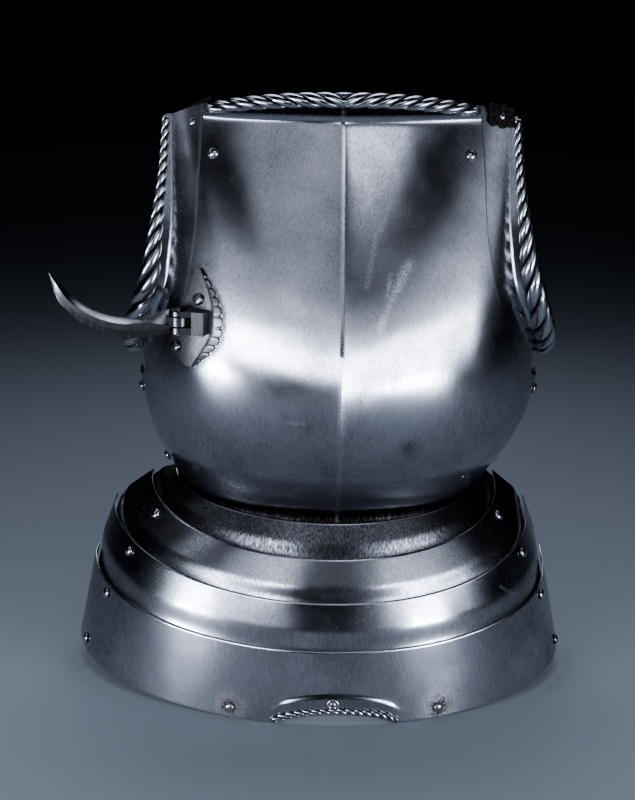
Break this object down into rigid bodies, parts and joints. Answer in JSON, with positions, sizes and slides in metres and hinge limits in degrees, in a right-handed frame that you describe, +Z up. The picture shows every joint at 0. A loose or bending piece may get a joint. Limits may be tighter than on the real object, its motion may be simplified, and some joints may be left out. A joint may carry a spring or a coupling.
{
  "type": "cuirass",
  "caption": "Front half of a steel field cuirass: globose breastplate with roped neck and arm openings, sliding gussets, an articulated skirt and a folding lance rest.",
  "frame": {"origin": "midway between the two shoulders at the neck crease, in the plane of the wearer's sides: the place from which the shoulder straps hold the plate up", "axes": "+Z up, toward the neck; -Y in front of the wearer; +X toward the wearer's left"},
  "size_m": [0.4953, 0.1954, 0.5942],
  "materials": {
    "steel": "worn polished steel with black pits and fine scratches",
    "rivet_steel": "domed steel, polished on top and dark round the foot",
    "forged_steel": "forged and filed steel, a little darker than the plates",
    "leather": "dry, cracked dark brown leather"
  },
  "bodies": {
    "breast": {"breastplate": "steel", "lance_rest_base": "forged_steel", "lance_rest_pin": "forged_steel", "lame_1": "steel", "neck_rivet_right": "rivet_steel", "neck_rivet_left": "rivet_steel", "gusset_pivot_right": "rivet_steel", "gusset_pivot_left": "rivet_steel", "side_strap_rivet_right": "rivet_steel", "side_strap_rivet_left": "rivet_steel", "waist_rivet": "rivet_steel", "lance_rest_screw_upper": "forged_steel", "lance_rest_screw_lower": "forged_steel"},
    "lame_2": {"lame_2": "steel", "lame_2_pivot_right": "rivet_steel", "lame_2_pivot_left": "rivet_steel"},
    "lame_3": {"lame_3": "steel", "lame_3_pivot_right": "rivet_steel", "lame_3_pivot_left": "rivet_steel"},
    "lame_4": {"lame_4": "steel", "lame_4_pivot_right": "rivet_steel", "lame_4_pivot_left": "rivet_steel", "hem_side_rivet_right": "rivet_steel", "hem_side_rivet_left": "rivet_steel", "hem_front_rivet_right": "rivet_steel", "hem_front_rivet_left": "rivet_steel", "hem_middle_rivet": "rivet_steel"},
    "gusset_right": {"gusset_right": "steel", "strap_stub_right": "leather", "strap_rivet_right": "rivet_steel"},
    "gusset_left": {"gusset_left": "steel", "strap_stub_left": "leather", "strap_rivet_left": "rivet_steel"},
    "lance_rest_arm": {"lance_rest_arm": "forged_steel"}
  },
  "joints": [
    {"name": "lame_2_swing", "type": "hinge", "parent": "breast", "child": "lame_2", "pos_m": [0, -0.05071, -0.3969], "axis": [-1, 0, 0], "range_deg": [0, 3]},
    {"name": "lame_3_swing", "type": "hinge", "parent": "lame_2", "child": "lame_3", "pos_m": [0, -0.06034, -0.43158], "axis": [-1, 0, 0], "range_deg": [0, 5]},
    {"name": "lame_4_swing", "type": "hinge", "parent": "lame_3", "child": "lame_4", "pos_m": [0, -0.05385, -0.47885], "axis": [-1, 0, 0], "range_deg": [0, 7]},
    {"name": "gusset_right_slide", "type": "hinge", "parent": "breast", "child": "gusset_right", "pos_m": [-0.18231, -0.03574, -0.26971], "axis": [0, 1, 0], "range_deg": [0, 1]},
    {"name": "gusset_left_slide", "type": "hinge", "parent": "breast", "child": "gusset_left", "pos_m": [0.18749, -0.0355, -0.26958], "axis": [0, -1, 0], "range_deg": [0, 1]},
    {"name": "lance_rest_fold", "type": "hinge", "parent": "breast", "child": "lance_rest_arm", "pos_m": [-0.147, -0.134, -0.1765], "axis": [0, 0, 1], "range_deg": [0, 90]}
  ]
}
